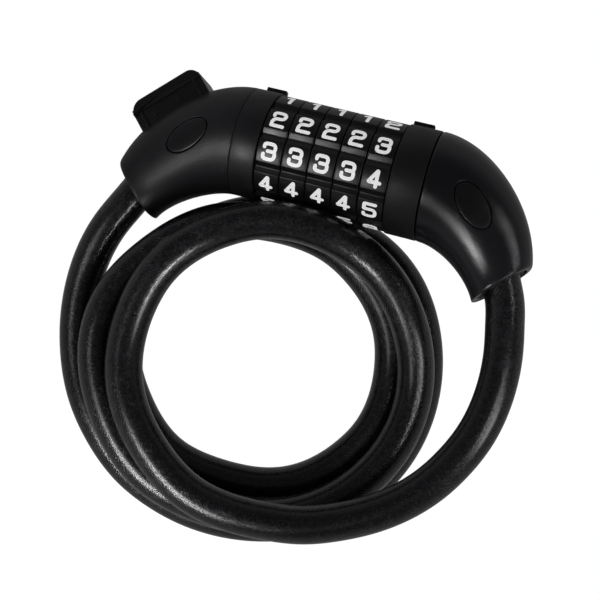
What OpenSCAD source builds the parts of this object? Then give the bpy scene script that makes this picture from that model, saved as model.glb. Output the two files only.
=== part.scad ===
// Spiral cable lock with five number dials: two curved ends, a coded barrel
// between them, and a thick jacketed cable that runs from one end, through a
// pile of loops, into the other end.
//
// The lock is drawn in its own frame (X along the barrel towards the plug,
// Y towards the outside of the curved ends, Z towards the viewer) and is then
// laid down by lay_lock(). The cable is drawn where it lies.

/* [Barrel] */
// Diameter of the collars, and of the curved ends where they meet them
body_d = 35.4; // [34.6:0.2:40]
// Width of one number dial
dial_w = 8.3; // [8:0.1:10]
// Gap between two dials, and between a dial and a collar
dial_gap = 0.25; // [0.15:0.05:0.5]
// Diameter of a dial
dial_d = 34.8; // [34.4:0.2:38]
// Width of the finger notch between two numbers of a dial
notch_w = 3.6; // [2:0.1:4.4]
// Depth of that notch
notch_depth = 0.9; // [0.4:0.1:1.6]
// Chamfer on the two edges of a dial
dial_chamfer = 0.45; // [0.2:0.05:0.8]
// Length of the collar at the fixed end
left_collar_l = 8.2; // [7:0.1:12]
// Length of the collar at the plug's end
right_collar_l = 10.2; // [9.5:0.1:14]
// Length of the index mark along the barrel
index_l = 6.8; // [4:0.1:7]
// Width of the index mark
index_w = 2.6; // [1.5:0.1:4]
// Height of the index mark over the collar
index_h = 1.5; // [0.5:0.1:2]

/* [Curved ends] */
// Reach of the fixed end, from its collar to the outer corner of its mouth
left_reach = 39.4; // [37:0.2:44]
// Reach of the plug's end, from the parting gap to the outer corner of its mouth
right_reach = 37; // [36:0.2:44]
// Distance of the mouth's outer corner below the barrel's axis
mouth_drop = 17; // [16:0.2:20]
// Size of the mouth in the plane of the bend
mouth_w = 21.4; // [20.6:0.2:24]
// Size of the mouth across the bend
mouth_h = 20.8; // [20.4:0.2:24]
// Angle between the barrel's axis and the mouth's outward normal
mouth_turn = 45; // [42:1:50]
// Wall of the curved ends
shell_wall = 2.2; // [1.6:0.1:2.4]
// Gap between the plug and its collar
parting_gap = 0.4; // [0.2:0.1:0.8]
// Length of the oval inlay
inlay_l = 16.2; // [12:0.2:18]
// Width of the oval inlay
inlay_w = 9; // [7:0.2:10]
// Thickness of the oval inlay
inlay_t = 1; // [0.6:0.1:1.2]
// Distance of the inlay's middle from the collar, along the axis
inlay_x = 15.6; // [14:0.2:18]
// Distance of the inlay's middle below the barrel's axis
inlay_y = 5.2; // [3:0.2:7]
// Groove round the oval inlay
inlay_gap = 0.3; // [0.2:0.05:0.5]

/* [Bracket lug] */
// Length of the lug along the curved end
lug_l = 25.5; // [20:0.5:28]
// Width of the lug's flange
lug_w = 17; // [14:0.5:20]
// Width of the neck under the flange
lug_neck_w = 13.4; // [10:0.2:14]
// Thickness of the flange
lug_flange_t = 4; // [2:0.1:5]
// Distance of the lug's outer face from the middle of the dials
lug_face = 50; // [49:0.2:54]
// Offset of the lug's middle along its face
lug_along = 36.2; // [34:0.2:38]
// Radius of the lug's corners
lug_corner = 4; // [1:0.5:5]

/* [Lock work] */
// Diameter of the locking pin
pin_d = 10; // [8:0.1:11]
// Wall of the slotted core tube
core_wall = 3.14; // [2.6:0.02:3.4]
// Height of a pin's tooth over the core tube
tooth_h = 1.5; // [0.8:0.1:1.8]
// Width of a pin's tooth
tooth_w = 2.4; // [1.6:0.1:3]
// Length of a pin's tooth along the pin
tooth_l = 2.2; // [1.6:0.1:2.8]
// Diameter of a gate ring over its ten corners
gate_ring_d = 25.2; // [24.4:0.1:26]
// Diameter of the steel ferrule on the cable
ferrule_d = 13.6; // [13:0.1:14]
// Length of the ferrule
ferrule_l = 10.5; // [9:0.5:11]
// Diameter of the pin through the ferrule
cross_pin_d = 3; // [2:0.2:3.6]
// Angle between the barrel's axis and the cable in a mouth
cable_turn = 65; // [62:1:68]

/* [Cable] */
// Diameter of the jacketed cable
cable_d = 12; // [11:0.1:12.2]

/* [Hidden] */
dial_count = 5;
digits = 10;
running = 0.06; // radial clearance of a part that turns or slides on another
slip = 0.02; // radial clearance of a part that is pushed home
loose = 0.3; // clearance of a part that only passes another
body_r = body_d / 2;
pitch = dial_w + dial_gap;
stack_half = (dial_count - 1) / 2 * pitch + dial_w / 2;
collar_face = stack_half + dial_gap;
left_end = collar_face + left_collar_l;
right_end = collar_face + right_collar_l;
plug_start = right_end + parting_gap;

// How the lock lies: its fixed end on the ground, its plug raised on the cable.
lock_tilt = 12.5;
lock_roll = 3.6;
lock_at = [0.395, 6.676, 24.506];

// Curved ends: two Bezier outlines, and a section that shrinks from one to the other.
outer_lead = 16;
outer_tail = 17.8;
outer_turn = 80;
inner_lead = 8;
inner_tail = 8;
inner_turn = 64;
elbow_sections = 12;
elbow_arc = 14;
squareness = 0.4; // how much squarer than an ellipse the section is at the mouth

// Lock work
pin_r = pin_d / 2;
core_bore = pin_r + running;
core_r = core_bore + core_wall;
ring_bore = core_r + running;
tooth_r = core_r + tooth_h;
groove_r = tooth_r + loose;
groove_l = tooth_l + 4 * loose;
gate_w = tooth_w + 2 * loose;
slot_w = tooth_w + loose;
web = 5; // web of a collar, next to the dials
core_beyond = 1.6; // core tube past the web of the plug's collar
clip_t = 1.2;
clip_d = 22;
washer_t = 0.4;
washer_recess = 0.5;
washer_d = 23.2;
pocket_wall = 2.5; // wall of the fixed collar round its pocket
nose_r = 12.9;
nose_l = 2.2;
nose_clear = 0.1;
anchor_disc_l = 3.3;
anchor_neck_r = 11.5;
anchor_neck_l = 5.6;
anchor_clear = 0.5;
socket_r = 8.5;
socket_from = 11.4;
ferrule_from = 7;
ferrule_r = ferrule_d / 2;
grommet_r = 7.6;
grommet_in = 1;
grommet_t = 2.4;
pin_tip = 0.75; // pin's tip short of the dial stack's end
pin_tip_chamfer = 1;

// Cable: millimetres on the ground that the lock lies on. The pile of loops runs
// clockwise seen from above, starting and ending at the near side. Its radius and
// height are given at every eighth of a turn, and ease from one to the next.
coil_at = [-5.1, -62.8];
coil_radius = [
    45.8, 43, 43.3, 45.2, 47.2, 49.2, 50.2, 49.8,
    49.3, 51.8, 54, 50.2, 46.1, 44.6, 42.8, 41.3,
    40.6, 44.2, 48, 50.2, 51.8, 55.4, 54.8, 54.4, 53.8
];
coil_height = [
    31, 30, 29.5, 31.2, 33, 27.8, 22.6, 19.8,
    17.8, 19.4, 21, 19.2, 17.5, 14.9, 12, 8.6,
    6, 6, 6, 6, 6, 6, 6, 6, 6
];
coil_step = 45; // angle from one value to the next
coil_start = 270;
coil_end_l = cable_d; // straight length at each end of the pile
loop_rings = 24;
loop_sides = 6;
run_sides = 12;
gap_steps = 90; // points a turn at which the pile's least gap is measured
run_joint_l = 2; // straight length of a run where it meets the pile

// From the fixed end's mouth to the pile, and from the plug's mouth to the pile
left_run = [
    [-65.6, -29.6, 11.8], [-68.8, -39.4, 10], [-70.2, -50, 8], [-69.6, -61.8, 6.8],
    [-66.4, -75, 6.2], [-60, -88.6, 6], [-51.2, -99.4, 6], [-39.4, -108.8, 6], [-28, -113.8, 6], [-17, -116.4, 6]
];
right_run = [
    [63.8, -29, 41.2], [65.4, -37, 42], [66.2, -46, 42.5], [65.8, -55, 42.5], [63.9, -64.5, 42],
    [60.3, -73.6, 41], [55.2, -82.4, 39.6], [48.6, -90.2, 37.8], [40, -97.2, 35.8],
    [30.6, -102.6, 33.9], [20.8, -106.6, 32.3], [11, -108.5, 31.2]
];

// Mouth
function along(turn) = [cos(turn), -sin(turn)];
function across(turn) = [sin(turn), cos(turn)];
function outer_corner(reach) = [reach, -mouth_drop];
function mouth_middle(reach) = outer_corner(reach) - across(mouth_turn) * mouth_w / 2;

// Outlines of a curved end, in its own frame: X from the collar, Y outwards
function bezier(p, t) =
    pow(1 - t, 3) * p[0] + 3 * pow(1 - t, 2) * t * p[1] + 3 * (1 - t) * t * t * p[2] + pow(t, 3) * p[3];
function outer_line(reach) =
    let (corner = outer_corner(reach))
    [[0, body_r], [outer_lead, body_r], corner - outer_tail * along(outer_turn), corner];
function inner_line(reach) =
    let (corner = outer_corner(reach) - across(mouth_turn) * mouth_w)
    [[0, -body_r], [inner_lead, -body_r], corner - inner_tail * along(inner_turn), corner];
function ease(t) = t * t * (3 - 2 * t);
function power(v, e) = sign(v) * pow(abs(v), e);

// One point of a section: station t from 0 to 1, angle a, and distance in from the surface
function elbow_point(reach, t, a, inset) =
    let (
        o = bezier(outer_line(reach), t),
        i = bezier(inner_line(reach), t),
        middle = (o + i) / 2,
        half_w = norm(o - i) / 2 - inset,
        half_h = body_r + (mouth_h / 2 - body_r) * ease(t) - inset,
        way = (o - i) / norm(o - i),
        e = 2 / (2 + squareness * ease(t)),
        p = middle + way * half_w * power(cos(a), e)
    )
    [p.x, p.y, half_h * power(sin(a), e)];

// The pile's centre line at an angle gone round from its start
function eased(list, gone) =
    let (s = gone / coil_step, k = min(floor(s), len(list) - 2), t = s - k)
    list[k] + (list[k + 1] - list[k]) * ease(t);
function coil_point(gone) =
    let (a = coil_start - gone, r = eased(coil_radius, gone))
    [coil_at.x + r * cos(a), coil_at.y + r * sin(a), eased(coil_height, gone)];
coil_sweep = (len(coil_radius) - 1) * coil_step;
coil_loops = coil_sweep / 360;
coil_first = coil_point(0);
coil_last = coil_point(coil_sweep);
coil_path = concat(
    [coil_first + [coil_end_l / 2, 0, 0], coil_first - [coil_end_l / 2, 0, 0]],
    [for (k = [1 : coil_loops * loop_rings - 1]) coil_point(360 * k / loop_rings)],
    [coil_last + [coil_end_l / 2, 0, 0], coil_last - [coil_end_l / 2, 0, 0]]
);

// Least gap between two turns, measured on points along the centre line
gap_points = [for (k = [0 : coil_loops * gap_steps]) coil_point(360 * k / gap_steps)];
coil_gap = min([
    for (i = [0 : len(gap_points) - 1], j = [i + gap_steps / 3 : len(gap_points) - 1])
    norm(gap_points[i] - gap_points[j])
]) - cable_d;
echo(least_gap_between_turns = coil_gap);

// Where a mouth's cable line lies once the lock is laid down
function turn_x(v, a) = [v.x, v.y * cos(a) - v.z * sin(a), v.y * sin(a) + v.z * cos(a)];
function turn_y(v, a) = [v.x * cos(a) + v.z * sin(a), v.y, v.z * cos(a) - v.x * sin(a)];
function laid(v) = lock_at + turn_y(turn_x(v, -lock_roll), -lock_tilt);
function cable_line(reach, from, side, s) =
    let (p = mouth_middle(reach) - s * along(cable_turn))
    laid([side * (from + p.x), p.y, 0]);
left_path = concat(
    [cable_line(left_reach, left_end, -1, ferrule_from), cable_line(left_reach, left_end, -1, ferrule_from - cable_d)],
    left_run,
    [coil_path[len(coil_path) - 1] - [run_joint_l, 0, 0], coil_path[len(coil_path) - 1]]
);
right_path = concat(
    [cable_line(right_reach, plug_start, 1, ferrule_from), cable_line(right_reach, plug_start, 1, ferrule_from - cable_d)],
    right_run,
    [coil_path[0] + [run_joint_l, 0, 0], coil_path[0]]
);

// A ring of a tube at point i of its path, square to the path there
function unit(v) = v / norm(v);
function way_at(path, i) = unit(path[min(i + 1, len(path) - 1)] - path[max(i - 1, 0)]);
function path_ring(path, i, r, sides) =
    let (way = way_at(path, i), side = unit(cross(way, [0, 0, 1])), up = cross(side, way))
    [for (k = [0 : sides - 1]) path[i] + r * (side * cos(360 * k / sides) + up * sin(360 * k / sides))];

// A closed tube of triangles from a list of rings with the same number of points
function ring_faces(rings, n) = [
    for (r = [0 : rings - 2], k = [0 : n - 1])
    let (a = r * n + k, b = r * n + (k + 1) % n)
    each [[a, a + n, b + n], [a, b + n, b]]
];
function fan(first, n, flip) = [
    for (k = [1 : n - 2])
    flip ? [first, first + k + 1, first + k] : [first, first + k, first + k + 1]
];
function strip(first, n, flip) = [
    for (k = [0 : n / 2 - 2])
    let (a = first + k, b = first + k + 1, c = first + n - 2 - k, d = first + n - 1 - k)
    each (flip ? [[a, c, b], [a, d, c]] : [[a, b, c], [a, c, d]])
];

// Whole outside of a curved end, drawn in by inset
module elbow_solid(reach, inset) {
    n = 2 * elbow_arc;
    points = [
        for (s = [0 : elbow_sections], k = [0 : n - 1])
        elbow_point(reach, s / elbow_sections, 360 * k / n, inset)
    ];
    faces = concat(
        ring_faces(elbow_sections + 1, n),
        fan(0, n, false),
        fan(elbow_sections * n, n, true)
    );
    polyhedron(points, faces);
}

// Half of a curved end's shell, on the +Z side
module elbow_half(reach) {
    n = 2 * (elbow_arc + 1);
    points = [
        for (s = [0 : elbow_sections])
        let (t = s / elbow_sections)
        each concat(
            [for (k = [0 : elbow_arc]) elbow_point(reach, t, 180 * k / elbow_arc, 0)],
            [for (k = [elbow_arc : -1 : 0]) elbow_point(reach, t, 180 * k / elbow_arc, shell_wall)]
        )
    ];
    faces = concat(
        ring_faces(elbow_sections + 1, n),
        strip(0, n, false),
        strip(elbow_sections * n, n, true)
    );
    polyhedron(points, faces);
}

module tube(path, sides) {
    points = [for (i = [0 : len(path) - 1]) each path_ring(path, i, cable_d / 2, sides)];
    faces = concat(
        ring_faces(len(path), sides),
        fan(0, sides, false),
        fan((len(path) - 1) * sides, sides, true)
    );
    polyhedron(points, faces);
}

module along_x(from) {
    translate([from, 0, 0])
        rotate([0, 90, 0])
        children();
}

// Places children on the cable's line in a mouth, Z outwards, s millimetres in from the mouth
module on_cable_line(reach, s) {
    p = mouth_middle(reach) - s * along(cable_turn);
    translate([p.x, p.y, 0])
        rotate([0, 0, -cable_turn])
        rotate([0, 90, 0])
        children();
}

module at_left() {
    lay_lock() mirror([1, 0, 0]) translate([left_end, 0, 0]) children();
}

module at_right() {
    lay_lock() translate([plug_start, 0, 0]) children();
}

module lay_lock() {
    translate(lock_at)
        rotate([0, -lock_tilt, 0])
        rotate([-lock_roll, 0, 0])
        children();
}

// ---- Parts of both curved ends, drawn from the collar outwards ----

module inlay_prism(grow) {
    translate([inlay_x, -inlay_y, 0])
        rotate([0, 0, -mouth_turn])
        linear_extrude(body_d)
        offset(delta = grow)
        scale([inlay_l / inlay_w, 1])
        circle(d = inlay_w, $fn = 48);
}

module front_shell(reach) {
    difference() {
        elbow_half(reach);
        difference() {
            inlay_prism(inlay_gap);
            elbow_solid(reach, inlay_t);
        }
    }
}

module rear_shell(reach) {
    mirror([0, 0, 1]) elbow_half(reach);
}

module inlay(reach) {
    intersection() {
        difference() {
            elbow_solid(reach, 0);
            elbow_solid(reach, inlay_t);
        }
        inlay_prism(0);
    }
}

module anchor(reach, lead_l, lead_r, bore_r, bore_l) {
    disc_r = body_r - shell_wall - anchor_clear;
    neck_end = anchor_disc_l + anchor_neck_l;
    socket_to = ferrule_from + ferrule_l;
    difference() {
        union() {
            along_x(-lead_l) cylinder(h = lead_l, r = lead_r, $fn = 48);
            along_x(0) cylinder(h = anchor_disc_l, r = disc_r, $fn = 48);
            along_x(anchor_disc_l) cylinder(h = anchor_neck_l, r = anchor_neck_r, $fn = 36);
            on_cable_line(reach, socket_to) cylinder(h = socket_to - socket_from, r = socket_r, $fn = 36);
            hull() {
                along_x(neck_end - slip) cylinder(h = 1, r = anchor_neck_r - anchor_clear, $fn = 32);
                on_cable_line(reach, socket_to + 1) cylinder(h = 1 + anchor_clear, r = socket_r - anchor_clear, $fn = 32);
            }
        }
        along_x(-lead_l - 1) cylinder(h = bore_l + lead_l + 1, r = bore_r, $fn = 36);
        on_cable_line(reach, socket_to) cylinder(h = ferrule_l, r = ferrule_r + slip, $fn = 36);
        cross_pin_shape(reach, slip, 1);
    }
}

module cross_pin_shape(reach, grow, longer) {
    middle = (socket_from + ferrule_from + ferrule_l) / 2;
    p = mouth_middle(reach) - middle * along(cable_turn);
    translate([p.x, p.y, -socket_r - longer])
        cylinder(h = 2 * (socket_r + longer), d = cross_pin_d + 2 * grow, $fn = 48);
}

module ferrule(reach) {
    difference() {
        on_cable_line(reach, ferrule_from + ferrule_l) cylinder(h = ferrule_l, r = ferrule_r, $fn = 36);
        cross_pin_shape(reach, slip, 1);
    }
}

module cross_pin(reach) {
    cross_pin_shape(reach, 0, -anchor_clear);
}

module grommet(reach) {
    p = mouth_middle(reach);
    intersection() {
        difference() {
            on_cable_line(reach, body_r) cylinder(h = body_d, r = grommet_r, $fn = 36);
            on_cable_line(reach, body_r) cylinder(h = body_d, r = cable_d / 2 + running, $fn = 36);
        }
        translate([p.x, p.y, 0])
            rotate([0, 0, -mouth_turn])
            translate([-grommet_in - grommet_t, -mouth_w, -mouth_h])
            cube([grommet_t, 2 * mouth_w, 2 * mouth_h]);
    }
}

// ---- Barrel ----

module index_mark() {
    translate([0, body_r - 1, -index_w / 2]) cube([index_l, index_h + 1, index_w]);
}

module left_collar() {
    pocket_r = body_r - pocket_wall;
    color([0.16, 0.16, 0.17])
        lay_lock()
        difference() {
            union() {
                along_x(-left_end) cylinder(h = left_collar_l, r = body_r, $fn = 72);
                translate([-collar_face - index_l, 0, 0]) index_mark();
            }
            along_x(-left_end - 1) cylinder(h = left_collar_l + 2, r = core_r + slip, $fn = 36);
            along_x(-left_end - 1) cylinder(h = left_collar_l - web + 1, r = pocket_r, $fn = 48);
            along_x(-collar_face - washer_recess) cylinder(h = 1, d = washer_d + 2 * loose, $fn = 36);
        }
}

module right_collar() {
    color([0.16, 0.16, 0.17])
        lay_lock()
        difference() {
            union() {
                along_x(collar_face) cylinder(h = right_collar_l, r = body_r, $fn = 72);
                translate([collar_face, 0, 0]) index_mark();
            }
            along_x(collar_face - 1) cylinder(h = right_collar_l + 2, r = core_r + slip, $fn = 36);
            along_x(collar_face + web) cylinder(h = right_collar_l, r = nose_r + nose_clear, $fn = 48);
            gate_cut(collar_face - 1, web + 2, gate_w, groove_r);
        }
}

// A keyway on the +Y side, rounded to a radius
module gate_cut(from, length, width, radius) {
    intersection() {
        translate([from, 0, -width / 2]) cube([length, radius + 1, width]);
        along_x(from) cylinder(h = length, r = radius, $fn = 36);
    }
}

module core_tube() {
    start = -left_end - anchor_disc_l;
    finish = collar_face + web + core_beyond;
    slot_from = -stack_half + dial_w / 2 - groove_l / 2;
    color([0.62, 0.62, 0.64])
        lay_lock()
        difference() {
            along_x(start) cylinder(h = finish - start, r = core_r, $fn = 36);
            along_x(start - 1) cylinder(h = finish - start + 2, r = core_bore, $fn = 36);
            translate([slot_from, 0, -slot_w / 2]) cube([finish - slot_from + 1, core_r + 1, slot_w]);
        }
}

module retaining_ring() {
    color([0.5, 0.5, 0.52])
        lay_lock()
        difference() {
            along_x(collar_face + web) cylinder(h = clip_t, d = clip_d, $fn = 36);
            along_x(collar_face) cylinder(h = web + clip_t + 1, r = core_r + slip, $fn = 36);
            translate([collar_face, 0, -gate_w / 2]) cube([web + clip_t + 1, clip_d, gate_w]);
        }
}

module wave_washer() {
    color([0.55, 0.55, 0.57])
        lay_lock()
        difference() {
            along_x(-collar_face - washer_recess) cylinder(h = washer_t, d = washer_d, $fn = 36);
            along_x(-left_end) cylinder(h = left_end, r = core_r + running, $fn = 36);
        }
}

function dial_x(i) = (i - (dial_count - 1) / 2) * pitch;

module dial(i) {
    c = dial_chamfer;
    color([0.1, 0.1, 0.11])
        lay_lock()
        along_x(dial_x(i) - dial_w / 2)
        difference() {
            rotate_extrude($fn = 60)
                polygon([
                    [0, 0], [dial_d / 2 - c, 0], [dial_d / 2, c],
                    [dial_d / 2, dial_w - c], [dial_d / 2 - c, dial_w], [0, dial_w]
                ]);
            for (k = [0 : digits - 1])
                rotate([0, 0, 360 * (k + 0.5) / digits])
                translate([0, dial_d / 2 - notch_depth, -1])
                linear_extrude(dial_w + 2)
                polygon([[0, 0], [notch_w, 2 * notch_depth], [-notch_w, 2 * notch_depth]]);
            translate([0, 0, -1]) cylinder(h = dial_w + 2, d = gate_ring_d + loose, $fn = digits);
        }
}

module gate_ring(i) {
    from = dial_x(i) - dial_w / 2;
    color([0.72, 0.63, 0.38])
        lay_lock()
        difference() {
            along_x(from) cylinder(h = dial_w, d = gate_ring_d, $fn = digits);
            along_x(from - 1) cylinder(h = dial_w + 2, r = ring_bore, $fn = 36);
            along_x(from + (dial_w - groove_l) / 2) cylinder(h = groove_l, r = groove_r, $fn = 36);
            gate_cut(from - 1, dial_w + 2, gate_w, groove_r);
        }
}

// ---- Fixed end ----

module left_elbow_front() color([0.13, 0.13, 0.14]) at_left() front_shell(left_reach);
module left_elbow_rear() color([0.13, 0.13, 0.14]) at_left() rear_shell(left_reach);
module left_inlay() color([0.1, 0.1, 0.11]) at_left() inlay(left_reach);
module left_ferrule() color([0.6, 0.6, 0.62]) at_left() ferrule(left_reach);
module left_cross_pin() color([0.5, 0.5, 0.52]) at_left() cross_pin(left_reach);
module left_grommet() color([0.05, 0.05, 0.05]) at_left() grommet(left_reach);

module left_anchor() {
    lead_l = left_collar_l - web;
    color([0.56, 0.57, 0.6])
        at_left()
        anchor(left_reach, lead_l, body_r - pocket_wall - loose, core_r + slip, anchor_disc_l);
}

module bracket_lug() {
    color([0.08, 0.08, 0.09])
        difference() {
            lay_lock()
                rotate([0, 0, 135])
                translate([lug_face, lug_along, 0])
                lug_block();
            at_left() elbow_solid(left_reach, 0);
        }
}

// The lug's T-section, with X out of its face and Y along it
module lug_block() {
    neck_depth = lug_flange_t + 8;
    linear_extrude(lug_w, center = true) lug_outline(lug_flange_t);
    linear_extrude(lug_neck_w, center = true)
        translate([-neck_depth, -lug_l / 2])
        square([neck_depth - lug_flange_t / 2, lug_l]);
}

module lug_outline(depth) {
    intersection() {
        translate([-depth, -lug_l / 2]) square([depth, lug_l]);
        translate([-2 * lug_corner - depth, 0])
            offset(r = lug_corner, $fn = 32)
            square([2 * (depth + lug_corner), lug_l - 2 * lug_corner], center = true);
    }
}

// ---- Plug ----

module right_elbow_front() color([0.13, 0.13, 0.14]) at_right() front_shell(right_reach);
module right_elbow_rear() color([0.13, 0.13, 0.14]) at_right() rear_shell(right_reach);
module right_inlay() color([0.1, 0.1, 0.11]) at_right() inlay(right_reach);
module right_ferrule() color([0.6, 0.6, 0.62]) at_right() ferrule(right_reach);
module right_cross_pin() color([0.5, 0.5, 0.52]) at_right() cross_pin(right_reach);
module right_grommet() color([0.05, 0.05, 0.05]) at_right() grommet(right_reach);

module right_anchor() {
    color([0.56, 0.57, 0.6])
        at_right()
        anchor(right_reach, parting_gap + nose_l, nose_r, pin_r + slip, anchor_disc_l + anchor_neck_l - 1);
}

module locking_pin() {
    start = -stack_half + pin_tip;
    finish = plug_start + anchor_disc_l + anchor_neck_l - 1;
    c = pin_tip_chamfer;
    color([0.7, 0.7, 0.72])
        lay_lock()
        union() {
            along_x(start)
                rotate_extrude($fn = 36)
                polygon([[0, 0], [pin_r - c, 0], [pin_r, c], [pin_r, finish - start], [0, finish - start]]);
            for (i = [0 : dial_count - 1])
                intersection() {
                    translate([dial_x(i) - tooth_l / 2, pin_r - 1, -tooth_w / 2])
                        cube([tooth_l, tooth_r, tooth_w]);
                    along_x(dial_x(i) - tooth_l / 2) cylinder(h = tooth_l, r = tooth_r, $fn = 36);
                }
        }
}

// ---- Cable ----

module cable_left_run() color([0.07, 0.07, 0.08]) tube(left_path, run_sides);
module cable_coil() color([0.07, 0.07, 0.08]) tube(coil_path, loop_sides);
module cable_right_run() color([0.07, 0.07, 0.08]) tube(right_path, run_sides);

left_elbow_front();
left_elbow_rear();
left_inlay();
bracket_lug();
left_anchor();
left_ferrule();
left_cross_pin();
left_grommet();
left_collar();
right_collar();
core_tube();
retaining_ring();
wave_washer();
for (i = [0 : dial_count - 1]) {
    dial(i);
    gate_ring(i);
}
right_elbow_front();
right_elbow_rear();
right_inlay();
right_anchor();
right_ferrule();
right_cross_pin();
right_grommet();
locking_pin();
cable_left_run();
cable_coil();
cable_right_run();
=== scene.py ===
"""A five-dial combination lock on a spiral cable: its looks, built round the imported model."""

import math

import bmesh
import bpy
import numpy as np
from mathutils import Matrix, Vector
from mathutils.geometry import delaunay_2d_cdt


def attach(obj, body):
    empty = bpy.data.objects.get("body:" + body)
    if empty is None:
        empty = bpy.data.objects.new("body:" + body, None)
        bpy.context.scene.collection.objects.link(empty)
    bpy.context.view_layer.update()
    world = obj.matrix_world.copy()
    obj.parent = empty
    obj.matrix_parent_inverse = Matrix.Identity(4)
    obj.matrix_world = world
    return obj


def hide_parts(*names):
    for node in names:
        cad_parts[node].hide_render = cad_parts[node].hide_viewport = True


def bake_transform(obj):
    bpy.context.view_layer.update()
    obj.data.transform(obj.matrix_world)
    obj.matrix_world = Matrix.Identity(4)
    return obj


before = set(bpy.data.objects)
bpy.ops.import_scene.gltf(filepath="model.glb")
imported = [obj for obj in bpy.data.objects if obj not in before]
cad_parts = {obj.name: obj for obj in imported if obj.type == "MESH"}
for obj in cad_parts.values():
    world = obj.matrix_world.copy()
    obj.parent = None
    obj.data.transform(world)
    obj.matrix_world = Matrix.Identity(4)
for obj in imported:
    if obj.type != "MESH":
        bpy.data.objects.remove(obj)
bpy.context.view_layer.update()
scene = bpy.context.scene

# Lengths below are in millimetres, and are turned to metres where a mesh is made
MM = 0.001

# The lock's own frame: X along its axis, laid down on the coil
LOCK_AT = np.array([0.395, 6.676, 24.506])
LOCK_TILT = math.radians(12.5)
LOCK_ROLL = math.radians(3.6)

BODY_R = 17.7
STACK = ("dial_1", "dial_2", "dial_3", "dial_4", "dial_5")
DIAL_PITCH = 8.55
DIAL_W = 8.3
COLLAR_FACE = 21.5
LEFT_END = 29.7
RIGHT_END = 31.7
PLUG_START = 32.1
LEFT_REACH = 39.4
RIGHT_REACH = 37.0
MOUTH_DROP = 17.0
MOUTH_W = 21.4
MOUTH_H = 20.8
MOUTH_TURN = 45
CABLE_TURN = 65
SHELL_WALL = 2.2
SQUARENESS = 0.4
CABLE_D = 12.0

# How far each side's line of a curved end runs straight on at the collar and at the mouth,
# and how steeply it comes down to the mouth, in degrees
OUTER_LEAD = 16.0
OUTER_PULL = 17.8
OUTER_TURN = 80
INNER_LEAD = 8.0
INNER_PULL = 8.0
INNER_TURN = 64


# ---- Frames ----

def turn_x(v, angle):
    """Points turned about X."""
    c, s = math.cos(angle), math.sin(angle)
    x, y, z = v[..., 0], v[..., 1], v[..., 2]
    return np.stack([x, y * c - z * s, y * s + z * c], axis=-1)


def turn_y(v, angle):
    """Points turned about Y."""
    c, s = math.cos(angle), math.sin(angle)
    x, y, z = v[..., 0], v[..., 1], v[..., 2]
    return np.stack([x * c + z * s, y, z * c - x * s], axis=-1)


def laid(v):
    """From the lock's own frame to the row frame."""
    return LOCK_AT + turn_y(turn_x(np.asarray(v, float), -LOCK_ROLL), -LOCK_TILT)


def end_frame(side):
    """A curved end's frame, drawn from its collar outwards, to the row frame."""
    start = LEFT_END if side < 0 else PLUG_START

    def to_row(v):
        v = np.asarray(v, float)
        x = side * (start + v[..., 0])
        return laid(np.stack([x, v[..., 1], v[..., 2]], axis=-1))

    return to_row


# ---- The curved ends' form ----

def along(turn):
    """A way in a curved end's own plane, turned down from its axis."""
    a = math.radians(turn)
    return np.array([math.cos(a), -math.sin(a)])


def across(turn):
    """The way square to along(turn), towards the end's outer side."""
    a = math.radians(turn)
    return np.array([math.sin(a), math.cos(a)])


def outer_corner(reach):
    return np.array([reach, -MOUTH_DROP])


def mouth_middle(reach):
    return outer_corner(reach) - across(MOUTH_TURN) * MOUTH_W / 2


def bezier(p, t):
    """Points of a cubic curve through four control points."""
    t = np.asarray(t, float)[..., None]
    u = 1 - t
    return u**3 * p[0] + 3 * u * u * t * p[1] + 3 * u * t * t * p[2] + t**3 * p[3]


def outer_line(reach):
    """Control points of a curved end's outer side, from the collar to the mouth."""
    corner = outer_corner(reach)
    lead = np.array([OUTER_LEAD, BODY_R])
    return [np.array([0, BODY_R]), lead, corner - OUTER_PULL * along(OUTER_TURN), corner]


def inner_line(reach):
    """Control points of a curved end's inner side, from the collar to the mouth."""
    corner = outer_corner(reach) - across(MOUTH_TURN) * MOUTH_W
    lead = np.array([INNER_LEAD, -BODY_R])
    return [np.array([0, -BODY_R]), lead, corner - INNER_PULL * along(INNER_TURN), corner]


def ease(t):
    return t * t * (3 - 2 * t)


def power(v, e):
    """A power that keeps the sign, for the round-cornered outlines."""
    return np.sign(v) * np.abs(v) ** e


def elbow_point(reach, t, a, inset=0.0):
    """A point of a curved end's skin: t from the collar to the mouth, a round it."""
    t, a, inset = np.broadcast_arrays(np.asarray(t, float), a, inset)
    o = bezier(outer_line(reach), t)
    i = bezier(inner_line(reach), t)
    middle = (o + i) / 2
    width = np.linalg.norm(o - i, axis=-1)
    way = (o - i) / width[..., None]
    half_w = width / 2 - inset
    half_h = BODY_R + (MOUTH_H / 2 - BODY_R) * ease(t) - inset
    e = 2 / (2 + SQUARENESS * ease(t))
    p = middle + way * (half_w * power(np.cos(a), e))[..., None]
    z = half_h * power(np.sin(a), e)
    return np.stack([p[..., 0], p[..., 1], z], axis=-1)


# ---- The cable's line ----

# The coil's turns are read at stations a set angle apart, from its top end down to its low one
COIL_AT = np.array([-5.1, -62.8])
COIL_RADIUS = [
    45.8, 43, 43.3, 45.2, 47.2, 49.2, 50.2, 49.8, 49.3, 51.8, 54, 50.2, 46.1,
    44.6, 42.8, 41.3, 40.6, 44.2, 48, 50.2, 51.8, 55.4, 54.8, 54.4, 53.8,
]
COIL_HEIGHT = [
    31, 30, 29.5, 31.2, 33, 27.8, 22.6, 19.8, 17.8, 19.4, 21, 19.2, 17.5,
    14.9, 12, 8.6, 6, 6, 6, 6, 6, 6, 6, 6, 6,
]
COIL_STEP = 45
COIL_START = 270
COIL_KNOT_STEP = 15
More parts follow.
